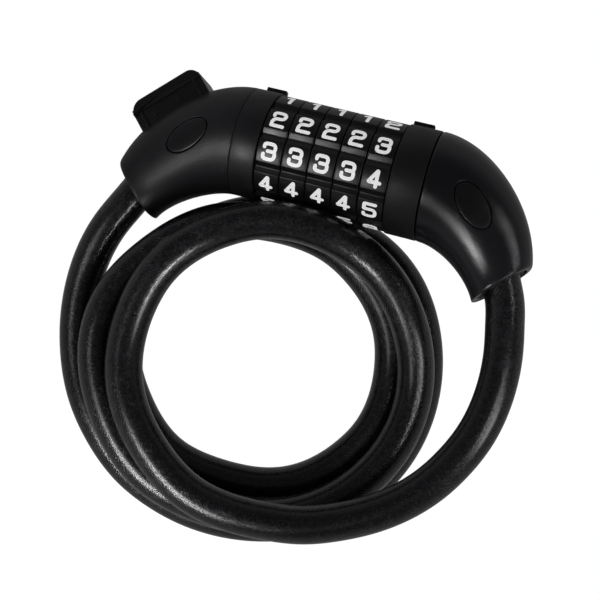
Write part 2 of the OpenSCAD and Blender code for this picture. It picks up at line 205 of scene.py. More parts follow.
# Knots of the line close to a mouth, in millimetres in from it
MOUTH_KNOTS = (7, 1, -5)
LEFT_RUN = [
    (-65.6, -29.6, 11.8), (-68.8, -39.4, 10), (-70.2, -50, 8), (-69.6, -61.8, 6.8),
    (-66.4, -75, 6.2), (-60, -88.6, 6), (-51.2, -99.4, 6), (-39.4, -108.8, 6),
    (-28, -113.8, 6), (-17, -116.4, 6),
]
RIGHT_RUN = [
    (63.8, -29, 41.2), (65.4, -37, 42), (66.2, -46, 42.5), (65.8, -55, 42.5),
    (63.9, -64.5, 42), (60.3, -73.6, 41), (55.2, -82.4, 39.6), (48.6, -90.2, 37.8),
    (40, -97.2, 35.8), (30.6, -102.6, 33.9), (20.8, -106.6, 32.3), (11, -108.5, 31.2),
]


def eased(stations, gone):
    """A value between stations a set angle apart, held level at each of them."""
    s = gone / COIL_STEP
    k = min(int(s), len(stations) - 2)
    return stations[k] + (stations[k + 1] - stations[k]) * ease(s - k)


def coil_point(gone):
    """A point of the coil's line, some degrees on from its top end."""
    a = math.radians(COIL_START - gone)
    r = eased(COIL_RADIUS, gone)
    z = eased(COIL_HEIGHT, gone)
    return np.array([COIL_AT[0] + r * math.cos(a), COIL_AT[1] + r * math.sin(a), z])


def cable_line(reach, side, s):
    """A point of the cable's line inside a mouth, s millimetres in from it."""
    p = mouth_middle(reach) - s * along(CABLE_TURN)
    return end_frame(side)([p[0], p[1], 0])


SPLINE_DETAIL = 40


def spline(knots, step):
    """Points an even step apart on a natural cubic spline through the knots."""
    knots = np.array(knots, float)
    chord = np.linalg.norm(np.diff(knots, axis=0), axis=1)
    at = np.concatenate([[0], np.cumsum(chord)])
    n = len(knots)
    matrix = np.zeros((n, n))
    right = np.zeros((n, 3))
    matrix[0, 0] = matrix[-1, -1] = 1
    for k in range(1, n - 1):
        h0, h1 = chord[k - 1], chord[k]
        matrix[k, k - 1], matrix[k, k], matrix[k, k + 1] = h0, 2 * (h0 + h1), h1
        right[k] = 6 * ((knots[k + 1] - knots[k]) / h1 - (knots[k] - knots[k - 1]) / h0)
    bend = np.linalg.solve(matrix, right)

    def value(s):
        k = np.clip(np.searchsorted(at, s, side="right") - 1, 0, n - 2)
        h = chord[k][:, None]
        a = (at[k + 1] - s)[:, None] / h
        b = 1 - a
        curve = ((a**3 - a) * bend[k] + (b**3 - b) * bend[k + 1]) * h * h / 6
        return a * knots[k] + b * knots[k + 1] + curve

    dense = value(np.linspace(0, at[-1], SPLINE_DETAIL * n))
    run = np.concatenate([[0], np.cumsum(np.linalg.norm(np.diff(dense, axis=0), axis=1))])
    count = max(2, int(round(run[-1] / step)) + 1)
    even = np.linspace(0, run[-1], count)
    return np.stack([np.interp(even, run, dense[:, c]) for c in range(3)], axis=-1)


def whole_line():
    """The cable's whole line, from the left mouth round the coil to the right mouth."""
    turned = COIL_STEP * (len(COIL_RADIUS) - 1)
    left = [cable_line(LEFT_REACH, -1, s) for s in MOUTH_KNOTS]
    right = [cable_line(RIGHT_REACH, 1, s) for s in MOUTH_KNOTS]
    coil = [coil_point(g) for g in range(turned - COIL_KNOT_STEP, 0, -COIL_KNOT_STEP)]
    return left + LEFT_RUN + coil + RIGHT_RUN[::-1] + right[::-1]


# ---- Mesh helpers ----

def make_piece(name, shape, to_row, material, body, smooth_under):
    """A mesh piece from a shape in a frame of its own, smooth but for edges over an angle."""
    mesh = bpy.data.meshes.new(name)
    points = to_row(np.array(shape.points)) * MM
    mesh.from_pydata([tuple(p) for p in points], [], shape.faces)
    shaped = bmesh.new()
    shaped.from_mesh(mesh)
    bmesh.ops.recalc_face_normals(shaped, faces=shaped.faces)
    shaped.to_mesh(mesh)
    shaped.free()
    mesh.shade_smooth()
    mesh.set_sharp_from_angle(angle=math.radians(smooth_under))
    mesh.materials.append(material)
    piece = bpy.data.objects.new(name, mesh)
    scene.collection.objects.link(piece)
    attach(piece, body)
    return piece


def ring_quads(first, second, count):
    """Quads between two closed rings of as many vertices, given by their first numbers."""
    quads = []
    for k in range(count):
        m = (k + 1) % count
        quads.append((first + k, first + m, second + m, second + k))
    return quads


class Shape:
    """Points and faces that are gathered into one mesh."""

    def __init__(self):
        self.points = []
        self.faces = []

    def add(self, points):
        """Adds points, and gives the number of the first of them."""
        first = len(self.points)
        self.points.extend(np.asarray(points, float).reshape(-1, 3))
        return first

    def loft(self, rings, closed=False):
        """Joins rings of as many points each, and gives the number of each ring's first point."""
        firsts = [self.add(r) for r in rings]
        count = len(rings[0])
        pairs = list(zip(firsts[:-1], firsts[1:]))
        if closed:
            pairs.append((firsts[-1], firsts[0]))
        for a, b in pairs:
            self.faces.extend(ring_quads(a, b, count))
        return firsts

    def cap(self, first, count, middle):
        """Closes a ring with a fan of triangles from its middle."""
        m = self.add([middle])
        for k in range(count):
            self.faces.append((first + k, first + (k + 1) % count, m))


# ---- Materials ----

def new_material(name, colour, roughness, metallic=0.0):
    material = bpy.data.materials.new(name)
    material.use_nodes = True
    shader = material.node_tree.nodes["Principled BSDF"]
    shader.inputs["Base Color"].default_value = (*colour, 1)
    shader.inputs["Roughness"].default_value = roughness
    shader.inputs["Metallic"].default_value = metallic
    return material, shader


def node(material, kind, inputs=(), **settings):
    """A node with its inputs set, each to a value or to another node's output."""
    made = material.node_tree.nodes.new(kind)
    for key, value in settings.items():
        setattr(made, key, value)
    for key, value in dict(inputs).items():
        link(material, made.inputs[key], value)
    return made


def link(material, socket, value):
    """Sets a socket to a value, or joins another node's output to it."""
    if isinstance(value, bpy.types.NodeSocket):
        material.node_tree.links.new(value, socket)
    else:
        socket.default_value = value


def math_node(material, operation, *values, clamp=False):
    made = node(material, "ShaderNodeMath", operation=operation, use_clamp=clamp)
    for k, value in enumerate(values):
        link(material, made.inputs[k], value)
    return made.outputs[0]


def ramp(material, value, stops):
    """A colour ramp over a value, from (place, grey or colour) pairs."""
    made = node(material, "ShaderNodeValToRGB", {"Fac": value})
    elements = made.color_ramp.elements
    while len(elements) < len(stops):
        elements.new(0.5)
    for element, (place, colour) in zip(elements, stops):
        element.position = place
        tone = (colour,) * 3 if isinstance(colour, (int, float)) else colour
        element.color = (*tone, 1)
    return made.outputs["Color"]


def noise(material, scale, detail=2.0, roughness=0.5, stretch=(1, 1, 1)):
    """Noise in the piece's own space; scale is in features to a metre."""
    place = node(material, "ShaderNodeTexCoord").outputs["Object"]
    place = node(material, "ShaderNodeMapping", {"Vector": place, "Scale": stretch})
    inputs = {"Vector": place.outputs[0], "Scale": scale, "Detail": detail, "Roughness": roughness}
    return node(material, "ShaderNodeTexNoise", inputs).outputs["Fac"]


def add_bump(material, shader, height, distance, strength):
    """Relief from a height; distance is its depth in metres."""
    inputs = {"Height": height, "Distance": distance, "Strength": strength}
    made = node(material, "ShaderNodeBump", inputs)
    link(material, shader.inputs["Normal"], made.outputs[0])


def vary_roughness(material, shader, field, low, high):
    """Lets the roughness run from low to high with a noise."""
    link(material, shader.inputs["Roughness"], ramp(material, field, [(0.3, low), (0.7, high)]))


def shell_plastic(name, roughness):
    """Satin black moulded plastic with a fine spark-eroded grain."""
    material, shader = new_material(name, (0.009, 0.009, 0.0105), roughness)
    grain = noise(material, scale=2600, detail=3, roughness=0.6)
    add_bump(material, shader, grain, distance=0.00009, strength=0.6)
    cloudy = noise(material, scale=120)
    vary_roughness(material, shader, cloudy, roughness * 0.9, roughness * 1.1)
    return material


def smooth_plastic(name, colour, roughness, grain=900, depth=0.00002):
    """Smooth moulded black plastic, with a faint unevenness of its own scale and depth."""
    material, shader = new_material(name, colour, roughness)
    add_bump(material, shader, noise(material, grain), depth, strength=0.3)
    cloudy = noise(material, scale=90, detail=3)
    vary_roughness(material, shader, cloudy, roughness * 0.85, roughness * 1.2)
    return material


def number_paint():
    """White paint, a little uneven, with some light of its own so that it's bright in shade."""
    material, shader = new_material("number_paint", (0.85, 0.85, 0.84), 0.45)
    cloudy = noise(material, scale=1800, detail=3)
    tone = ramp(material, cloudy, [(0.25, (0.74, 0.74, 0.73)), (0.6, (0.9, 0.9, 0.89))])
    link(material, shader.inputs["Base Color"], tone)
    add_bump(material, shader, cloudy, distance=0.00002, strength=0.3)
    shader.inputs["Emission Color"].default_value = (1, 1, 1, 1)
    shader.inputs["Emission Strength"].default_value = 0.42
    return material


def rubber():
    material, shader = new_material("grommet_rubber", (0.008, 0.008, 0.008), 0.6)
    uneven = noise(material, scale=700, detail=4)
    add_bump(material, shader, uneven, distance=0.0002, strength=0.6)
    return material


def metal(name, colour, roughness, grain, stretch=(1, 1, 1)):
    """Bare metal with fine marks in its sheen and tone."""
    material, shader = new_material(name, colour, roughness, 1.0)
    marks = noise(material, grain, 4, 0.6, stretch)
    vary_roughness(material, shader, marks, roughness * 0.7, roughness * 1.4)
    dark = tuple(0.75 * c for c in colour)
    tone = ramp(material, marks, [(0.25, dark), (0.6, colour)])
    link(material, shader.inputs["Base Color"], tone)
    add_bump(material, shader, marks, distance=0.00003, strength=0.25)
    return material


# The wire rope: wires in its outer layer, the length of one turn and a wire's height, in metres
WIRES = 30.0
LAY_LENGTH = 0.042
WIRE_R = 0.00038
WIRE_SPREAD = 1.9


def cable_jacket():
    """Wire rope in a clear smoky coat: its twisted wires are seen through a glossy skin."""
    material, shader = new_material("cable_jacket", (0.07, 0.07, 0.072), 0.38, 0.9)
    place = node(material, "ShaderNodeUVMap", uv_map="around_along").outputs[0]
    split = node(material, "ShaderNodeSeparateXYZ", {"Vector": place})
    around, far = split.outputs["X"], split.outputs["Y"]

    def m(operation, *values, clamp=False):
        return math_node(material, operation, *values, clamp=clamp)

    # The wires wind round the cable in one layer, each a low round ridge under the coat
    turned = m("ADD", m("MULTIPLY", around, WIRES), m("MULTIPLY", far, -WIRES / LAY_LENGTH))
    across_wire = m("MULTIPLY", m("SUBTRACT", m("FRACT", turned), 0.5), WIRE_SPREAD)
    ridge = m("SQRT", m("SUBTRACT", 1.0, m("MULTIPLY", across_wire, across_wire), clamp=True))
    uneven = noise(material, scale=260, detail=3)
    height = m("MULTIPLY", ridge, ramp(material, uneven, [(0.4, 0.2), (0.65, 1.0)]))
    add_bump(material, shader, height, WIRE_R, strength=0.9)
    specks = noise(material, scale=1100)
    tone = ramp(material, specks, [(0.35, (0.004, 0.004, 0.0045)), (0.7, (0.026, 0.026, 0.028))])
    link(material, shader.inputs["Base Color"], tone)
    shader.inputs["Coat Weight"].default_value = 1.0
    shader.inputs["Coat Roughness"].default_value = 0.24
    shader.inputs["Coat IOR"].default_value = 1.5
    shader.inputs["Sheen Weight"].default_value = 0.6
    shader.inputs["Sheen Roughness"].default_value = 0.08
    return material


LEFT_SHELL = shell_plastic("shell_plastic_left", 0.42)
RIGHT_SHELL = shell_plastic("shell_plastic_right", 0.22)
COLLAR = smooth_plastic("collar_plastic", (0.009, 0.009, 0.0105), 0.42)
# The right collar's copy of the collar plastic: rougher, and darker in colour as painted shade
# where no highlight falls on it
MATT_SHADED_COLLAR = smooth_plastic("collar_plastic_matt_painted_shade", (0.005, 0.005, 0.006), 0.5)
INLAY = smooth_plastic("inlay_plastic", (0.006, 0.006, 0.007), 0.3)
LUG = smooth_plastic("lug_plastic", (0.009, 0.009, 0.009), 0.24, 420, 0.0003)
DIAL = smooth_plastic("dial_plastic", (0.006, 0.006, 0.0065), 0.32)
PAINT = number_paint()
RUBBER = rubber()
JACKET = cable_jacket()
STEEL = metal("steel", (0.58, 0.58, 0.6), 0.28, 900, (0.2, 1, 1))
ZINC = metal("zinc_casting", (0.5, 0.51, 0.53), 0.5, 500)
BRASS = metal("gate_brass", (0.72, 0.56, 0.27), 0.3, 900)


# ---- Camera, floor and light ----

# The camera looks straight down, turned about Z so that the lock lies aslant in the picture
CAMERA_AT = (0.001375, -0.03859, 0.380)
CAMERA_LENS = 66.377
SENSOR_W = 36
NEAR_CLIP = 0.01
IMAGE_TURN = 15.33
LOOK_AT = np.array([0.0, -45.0, 25.0])
SNOOT_AWAY = 0.9
SNOOT_BLEND = 0.7
# A snoot's small lights: how many on each circle, and its radius as a share of the source's
SNOOT_CIRCLES = ((1, 0.0), (6, 0.4), (12, 0.8))
HORIZON = (0.3, 0.3, 0.32)
ZENITH = (0.072, 0.072, 0.078)


def direction(image_angle, elevation):
    """A way out from the object; the angle is from the picture's right, towards its top."""
    a = math.radians(image_angle + IMAGE_TURN)
    e = math.radians(elevation)
    return np.array([math.cos(a) * math.cos(e), math.sin(a) * math.cos(e), math.sin(e)])


def softbox(name, image_angle, elevation, distance, width, height, power_w):
    """A wide square light that faces the whole object."""
    light = bpy.data.lights.new(name, "AREA")
    light.shape = "RECTANGLE"
    light.size = width
    light.size_y = height
    light.energy = power_w
    piece = bpy.data.objects.new(name, light)
    way = direction(image_angle, elevation)
    piece.location = Vector(LOOK_AT * MM + way * distance)
    piece.rotation_euler = Vector(way).to_track_quat("Z", "Y").to_euler()
    scene.collection.objects.link(piece)


def snoot(name, image_angle, elevation, target, reach, source, power_w, softness=0.06):
    """A round soft light made of small ones, that lights only a circle round its target.

    Reach is the circle's radius and source the light's own, both in metres.
    """
    way = Vector(direction(image_angle, elevation))
    level = way.cross((0, 0, 1)).normalized()
    upright = way.cross(level)
    spots = []
    for count, share in SNOOT_CIRCLES:
        spots += [(share * source, math.tau * k / count) for k in range(count)]
    light = bpy.data.lights.new(name, "SPOT")
    light.energy = power_w / len(spots)
    light.shadow_soft_size = softness * source
    light.spot_size = 2 * math.atan(reach / SNOOT_AWAY)
    light.spot_blend = SNOOT_BLEND
    for k, (r, a) in enumerate(spots):
        piece = bpy.data.objects.new(f"{name}_{k}", light)
        place = way * SNOOT_AWAY + (level * math.cos(a) + upright * math.sin(a)) * r
        piece.location = Vector(np.array(target) * MM) + place
        piece.rotation_euler = place.to_track_quat("Z", "Y").to_euler()
        scene.collection.objects.link(piece)


camera = bpy.data.objects.new("camera", bpy.data.cameras.new("camera"))
camera.location = CAMERA_AT
camera.rotation_euler = (0, 0, math.radians(IMAGE_TURN))
camera.data.lens = CAMERA_LENS
camera.data.sensor_width = SENSOR_W
camera.data.clip_start = NEAR_CLIP
scene.collection.objects.link(camera)
scene.camera = camera

# Each snoot makes one of the bright streaks: on the barrel and the left end, then at places on
# the coil and the right run, and last on the plug
snoot("key_barrel", -151, 47, (-28, 5, 35), 0.052, 0.12, 8.2, 0.25)
snoot("key_coil", -128, 48, (-27, -104, 15), 0.04, 0.24, 22.0)
snoot("key_top", -107, 44, (22, -27, 20), 0.02, 0.17, 20.0)
snoot("key_inner", -55, 44, (-39, -40, 20), 0.025, 0.15, 11.0)
snoot("key_left", -165, 52, (-62, -50, 15), 0.035, 0.2, 2.2)
snoot("key_run", -35, 68, (61, -58, 15), 0.042, 0.2, 4.0)
snoot("key_plug", -134, 51, (50, -18, 38), 0.021, 0.13, 15.0)
snoot("glint_right", 18, 50, (57, -12, 38), 0.018, 0.16, 2.8)
softbox("key_right", -36, 45, 0.9, 0.26, 0.26, 1.1)
softbox("fill", -140, 50, 0.9, 0.25, 0.25, 0.5)

scene.view_settings.view_transform = "Standard"
world = bpy.data.worlds.new("studio")
world.use_nodes = True
scene.world = world
sky = node(world, "ShaderNodeTexCoord").outputs["Generated"]
sky_height = node(world, "ShaderNodeSeparateXYZ", {"Vector": sky}).outputs["Z"]
backdrop = world.node_tree.nodes["Background"]
fade = ramp(world, sky_height, [(0.0, HORIZON), (0.6, ZENITH)])
link(world, backdrop.inputs["Color"], fade)

FLOOR_HALF = 40.0
FLOOR_Z = -0.0002
BOUNCE_Z = -0.0004


def table_top(name, z, brightness):
    """A wide plain white table top that shines evenly, so that no shadow shows on it."""
    mesh = bpy.data.meshes.new(name)
    h = FLOOR_HALF
    mesh.from_pydata([(-h, -h, z), (h, -h, z), (h, h, z), (-h, h, z)], [], [(0, 1, 2, 3)])
    piece = bpy.data.objects.new(name, mesh)
    scene.collection.objects.link(piece)
    material, shader = new_material(name, (0.05, 0.05, 0.05), 0.8)
    shader.inputs["Emission Color"].default_value = (1, 1, 1, 1)
    shader.inputs["Emission Strength"].default_value = brightness
    mesh.materials.append(material)
    return piece


# What the camera sees is bright; what lights the object from below is dimmer
floor = table_top("floor", FLOOR_Z, 1.0)
floor.visible_diffuse = False
floor.visible_glossy = False
floor.visible_transmission = False
bounce = table_top("bounce", BOUNCE_Z, 0.22)
bounce.visible_camera = False


# ---- The cable ----

TUBE_SIDES = 28
TUBE_STEP = 1.2


def tube_frames(line):
    """Two directions across a line at each point, carried along it without twist."""
    way = np.gradient(line, axis=0)
    way /= np.linalg.norm(way, axis=1)[:, None]
    side = np.cross(way[0], [0, 0, 1.0])
    side /= np.linalg.norm(side)
    sides = [side]
    for w in way[1:]:
        side = side - w * (side @ w)
        side /= np.linalg.norm(side)
        sides.append(side)
    sides = np.array(sides)
    return sides, np.cross(way, sides)


def tube_piece(name, line, frames, first, last, far):
    """The stretch of the cable's line from point first to point last, as a capped tube."""
    side, up = frames
    count = TUBE_SIDES
    around = np.linspace(0, 2 * math.pi, count, endpoint=False)
    level, upright = np.cos(around)[:, None], np.sin(around)[:, None]
    rings = []
    for k in range(first, last + 1):
        rings.append(line[k] + CABLE_D / 2 * (level * side[k] + upright * up[k]))
    shape = Shape()
    shape.loft(rings)
    for k, ring in ((first, rings[0]), (last, rings[-1])):
        shape.cap(shape.add(ring), count, line[k])
    mesh = bpy.data.meshes.new(name)
    mesh.from_pydata([tuple(p) for p in np.array(shape.points) * MM], [], shape.faces)

    # The skin's map: once round the cable across, and metres along it
    layer = mesh.uv_layers.new(name="around_along")
    body_quads = (last - first) * count
    for face in mesh.polygons:
        row, column = divmod(face.index, count)
        for corner, loop in enumerate(face.loop_indices):
            if face.index >= body_quads:
                layer.data[loop].uv = (0, far[first] * MM)
                continue
            u = (column + (corner in (1, 2))) / count
            v = far[first + row + (corner in (2, 3))] * MM
            layer.data[loop].uv = (u, v)
    mesh.shade_smooth()
    mesh.materials.append(JACKET)
    piece = bpy.data.objects.new(name, mesh)
    scene.collection.objects.link(piece)
    return piece


cable_route = spline(whole_line(), TUBE_STEP)
steps = np.linalg.norm(np.diff(cable_route, axis=0), axis=1)
cable_far = np.concatenate([[0], np.cumsum(steps)])
route_frames = tube_frames(cable_route)
# The two pieces of the one cable meet where the right run reaches the coil
seam = int(np.argmin(np.linalg.norm(cable_route - coil_point(0), axis=1)))
final = len(cable_route) - 1

cable_fixed = tube_piece("cable_fixed", cable_route, route_frames, 0, seam, cable_far)
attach(cable_fixed, "case")
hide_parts("cable_left_run", "cable_coil")
cable_plug = tube_piece("cable_plug", cable_route, route_frames, seam, final, cable_far)
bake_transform(cable_plug)
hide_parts("cable_right_run")


def mouth_point(reach, side):
    """Where the cable's line leaves a mouth, in metres."""
    return [float(c) for c in cable_line(reach, side, 0) * MM]


mouth_point(LEFT_REACH, -1)
mouth_point(RIGHT_REACH, 1)


# ---- The curved ends' shells ----

SKIN_AROUND = 96
SKIN_ROWS = 46
OVAL_MIDDLE = np.array([15.6, -5.2])
OVAL_L = 15.2
OVAL_W = 8.5
OVAL_TURN = math.radians(-45)
OVAL_STEPS = 96
NEWTON_STEPS = 30

# The skin ends in a ring this far outside the oval, and its own points keep farther off
WINDOW_GROW = 1.8
KEEP_OUT_GROW = 2.3
WINDOW_MARGIN_T = 0.02
WINDOW_MARGIN_A = 0.06
# Millimetres along the skin for t from 0 to 1, to lay the window flat
WINDOW_LENGTH = 40.0
GROOVE_DEPTH = 1.3
# The groove round the inlay: how far outside the oval, and how deep
GROOVE_ROWS = (
    (1.1, 0), (0.75, 0), (0.58, 0), (0.45, 0.03), (0.36, 0.1), (0.3, 0.22), (0.3, GROOVE_DEPTH),
)
# The inlay: how far outside the oval, and how deep, from its foot over its rim
INLAY_ROWS = ((0, 1.0), (0, 0.3), (-0.04, 0.16), (-0.13, 0.06), (-0.28, 0.02), (-0.5, 0.0))
INLAY_SHARES = (0.85, 0.65, 0.45, 0.25, 0.08)


def oval(grow, share=1.0):
    """The oval inlay's outline in a curved end's own plane, grown, or shrunk to a share."""
    a = np.linspace(0, 2 * math.pi, OVAL_STEPS, endpoint=False)
    long_r, short_r = OVAL_L / 2, OVAL_W / 2
    edge = np.stack([long_r * np.cos(a), short_r * np.sin(a)], axis=-1)
    out = np.stack([short_r * np.cos(a), long_r * np.sin(a)], axis=-1)
    out /= np.linalg.norm(out, axis=1)[:, None]
    x, y = ((edge + out * grow) * share).T
    c, s = math.cos(OVAL_TURN), math.sin(OVAL_TURN)
    return np.stack([x * c - y * s, x * s + y * c], axis=-1) + OVAL_MIDDLE


def on_skin(reach, flat):
    """The t and a of the skin's upper side over points of the curved end's own plane."""
    t = np.clip(flat[:, 0] / reach, 0.1, 0.8)
    a = np.full(len(flat), math.pi / 2)
    h = 1e-5
    for _ in range(NEWTON_STEPS):
        here = elbow_point(reach, t, a)[:, :2] - flat
        by_t = (elbow_point(reach, t + h, a)[:, :2] - flat - here) / h
        by_a = (elbow_point(reach, t, a + h)[:, :2] - flat - here) / h
        det = by_t[:, 0] * by_a[:, 1] - by_t[:, 1] * by_a[:, 0]
        dt = (here[:, 0] * by_a[:, 1] - here[:, 1] * by_a[:, 0]) / det
        da = (by_t[:, 0] * here[:, 1] - by_t[:, 1] * here[:, 0]) / det
        t = np.clip(t - np.clip(dt, -0.1, 0.1), 0.001, 0.999)
        a = np.clip(a - np.clip(da, -0.3, 0.3), 0.05, math.pi - 0.05)
    return t, a


def sunk_oval(reach, grow, depth, share=1.0):
    """The oval on the skin, grown or shrunk, and sunk by a depth."""
    t, a = on_skin(reach, oval(grow, share))
    ring = elbow_point(reach, t, a)
    ring[:, 2] -= depth
    return ring


def inside(p, loop):
    """Whether a point lies inside a closed loop of the plane."""
    x, y = p
    x0, y0 = loop[:, 0], loop[:, 1]
    x1, y1 = np.roll(x0, -1), np.roll(y0, -1)
    crosses = (y0 > y) != (y1 > y)
    at = x0 + (y - y0) * (x1 - x0) / np.where(y1 == y0, 1e-12, y1 - y0)
    return bool(np.count_nonzero(crosses & (x < at)) % 2)


def skin_angles():
    """Angles round the skin, closer together beside the parting line at 0 and half a turn."""
    near = [0.0, 0.009, 0.022, 0.05]
    even = np.linspace(0.1, math.pi - 0.1, SKIN_AROUND // 2 - 2 * len(near) + 1)
    half = np.concatenate([near, even, math.pi - np.array(near[:0:-1])])
    return np.concatenate([half, half + math.pi])


PARTING_DEPTH = 0.25
SEAM_EDGE = 0.35
MOUTH_EDGE = 0.8
# Millimetres along the skin for t from 0 to 1, as the collar's end and the mouth's end go
SEAM_SPAN = 36
MOUTH_SPAN = 38
# The shell's inside, from the mouth's rim back to the collar: t, and how far it is drawn in
INSIDE_ROWS = [(1.0, SHELL_WALL - 0.3), (0.992, SHELL_WALL)]
INSIDE_ROWS += [(t, SHELL_WALL) for t in (0.9, 0.8, 0.65, 0.5, 0.35, 0.2, 0.1, 0.0)]


def skin_rows():
    """Rows of the outer skin: each a t and how far it is drawn in, rounded at both ends."""
    rows = []
    for turn in (0, 30, 60):
        a = math.radians(turn)
        rows.append((SEAM_EDGE * (1 - math.cos(a)) / SEAM_SPAN, SEAM_EDGE * (1 - math.sin(a))))
    rows.extend((t, 0.0) for t in np.linspace(0.012, 0.975, SKIN_ROWS))
    for turn in (60, 40, 20, 0):
        a = math.radians(turn)
        t = 1 - MOUTH_EDGE * (1 - math.cos(a)) / MOUTH_SPAN
        rows.append((t, MOUTH_EDGE * (1 - math.sin(a))))
    return rows


def windowed_skin(shape, reach, ts, angles, firsts):
    """The skin's faces, up to a ring round the oval; gives that ring's first point."""
    count = len(angles)
    t_at, a_at = on_skin(reach, oval(WINDOW_GROW))
    row0 = int(np.searchsorted(ts, t_at.min() - WINDOW_MARGIN_T)) - 1
    row1 = int(np.searchsorted(ts, t_at.max() + WINDOW_MARGIN_T))
    col0 = int(np.searchsorted(angles, a_at.min() - WINDOW_MARGIN_A)) - 1
    col1 = int(np.searchsorted(angles, a_at.max() + WINDOW_MARGIN_A))
    for r in range(len(ts) - 1):
        for k in range(count):
            if row0 <= r < row1 and col0 <= k < col1:
                continue
            m = (k + 1) % count
            near, far = firsts[r], firsts[r + 1]
            shape.faces.append((near + k, near + m, far + m, far + k))

    # The window is laid flat and filled with triangles between the skin's points and the ring
    scale = np.array([WINDOW_LENGTH, BODY_R])
    edge = shape.add(elbow_point(reach, t_at, a_at))
    loop = np.stack([t_at, a_at], axis=-1) * scale
    keep_out = np.stack(on_skin(reach, oval(KEEP_OUT_GROW)), axis=-1) * scale
    flat, numbers = [], []
    for r in range(row0, row1 + 1):
        for k in range(col0, col1 + 1):
            p = np.array([ts[r], angles[k]]) * scale
            if not inside(p, keep_out):
                flat.append(Vector(p))
                numbers.append(firsts[r] + k)
    base = len(flat)
    flat.extend(Vector(p) for p in loop)
    numbers.extend(edge + k for k in range(OVAL_STEPS))
    edges = [(base + k, base + (k + 1) % OVAL_STEPS) for k in range(OVAL_STEPS)]
    _, _, triangles, origins, _, _ = delaunay_2d_cdt(flat, edges, [], 0, 1e-6)
    for triangle in triangles:
        corners = [origins[v][0] for v in triangle]
        middle = sum((np.array(flat[v]) for v in corners), np.zeros(2)) / len(corners)
        if not inside(middle, loop):
            shape.faces.append(tuple(numbers[v] for v in corners))
    return edge


def groove(shape, reach, edge):
    """The groove round the inlay, down from the ring round the oval, and the floor in it."""
    previous = edge
    for grow, depth in GROOVE_ROWS:
        first = shape.add(sunk_oval(reach, grow, depth))
        shape.faces.extend(ring_quads(previous, first, OVAL_STEPS))
        previous = first
    t, a = on_skin(reach, OVAL_MIDDLE[None])
    middle = elbow_point(reach, t, a)[0] - [0, 0, GROOVE_DEPTH]
    shape.cap(previous, OVAL_STEPS, middle)


def shell_piece(name, reach, side, body, nodes, material):
    """A curved end's shell: its skin with a groove round the oval, its rim and its inside."""
    angles = skin_angles()
    count = len(angles)
    parting = np.zeros(count)
    parting[[0, count // 2]] = PARTING_DEPTH
    rows = skin_rows()
    shape = Shape()
    firsts = [shape.add(elbow_point(reach, t, angles, inset + parting)) for t, inset in rows]
    ts = np.array([t for t, _ in rows])
    edge = windowed_skin(shape, reach, ts, angles, firsts)
    groove(shape, reach, edge)
    previous = firsts[-1]
    for t, inset in INSIDE_ROWS:
        first = shape.add(elbow_point(reach, t, angles, inset))
        shape.faces.extend(ring_quads(previous, first, count))
        previous = first
    shape.faces.extend(ring_quads(previous, firsts[0], count))
    piece = make_piece(name, shape, end_frame(side), material, body, 50)
    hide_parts(*nodes)


def inlay_piece(name, reach, side, body, node_name):
    """The oval inlay, flush with the skin and rounded at its edge."""
    rings = [sunk_oval(reach, grow, depth) for grow, depth in INLAY_ROWS]
    grow, depth = INLAY_ROWS[-1]
    rings += [sunk_oval(reach, grow, depth, share) for share in INLAY_SHARES]
    shape = Shape()
    firsts = shape.loft(rings)
    shape.cap(firsts[-1], OVAL_STEPS, rings[-1].mean(axis=0))
    shape.cap(firsts[0], OVAL_STEPS, rings[0].mean(axis=0))
    piece = make_piece(name, shape, end_frame(side), INLAY, body, 50)
    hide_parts(node_name)


GROMMET_SIDES = 72
GROMMET_INSET = 2.4
GROMMET_BACK = 3.2
GROMMET_BORE_R = 6.1
GROMMET_LIP_R = 7.4
GROMMET_TOP_R = 6.9


def grommet_piece(name, reach, side, body, node_name):
    """The rubber seal in a mouth: it fills the shell round the cable, with a worn lip."""
    count = GROMMET_SIDES
    a = np.linspace(0, 2 * math.pi, count, endpoint=False)
    middle = mouth_middle(reach)
    out, over = along(MOUTH_TURN), across(MOUTH_TURN)
    cable_way = along(CABLE_TURN)
    wave = 0.16 * np.sin(5 * a + 0.6) + 0.12 * np.sin(11 * a + 2.0) + 0.08 * np.sin(17 * a)

    def mouth_ring(inset, depth):
        """A ring of the mouth's own outline, drawn in, at a depth behind the mouth."""
        e = 2 / (2 + SQUARENESS)
        p = (MOUTH_W / 2 - inset) * power(np.cos(a), e)
        z = (MOUTH_H / 2 - inset) * power(np.sin(a), e)
        flat = middle - out * np.broadcast_to(depth, count)[:, None] + p[:, None] * over
        return np.stack([flat[:, 0], flat[:, 1], z], axis=-1)

    def bore_ring(r, depth):
        """A ring round the cable where its line crosses a plane behind the mouth."""
        slant = math.cos(math.radians(CABLE_TURN - MOUTH_TURN))
        centre = middle - cable_way * np.broadcast_to(depth, count)[:, None] / slant
        p = r * np.cos(a) / slant
        flat = centre + p[:, None] * over
        return np.stack([flat[:, 0], flat[:, 1], r * np.sin(a)], axis=-1)

    rings = [
        mouth_ring(GROMMET_INSET, GROMMET_BACK),
        mouth_ring(GROMMET_INSET, 0.5 + wave),
        bore_ring(GROMMET_LIP_R, 0.3 + wave),
        bore_ring(GROMMET_TOP_R, 0.1 + wave),
        bore_ring(GROMMET_BORE_R, 0.5 + wave),
        bore_ring(GROMMET_BORE_R, GROMMET_BACK),
    ]
    shape = Shape()
    shape.loft(rings, closed=True)
    piece = make_piece(name, shape, end_frame(side), RUBBER, body, 60)
    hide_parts(node_name)


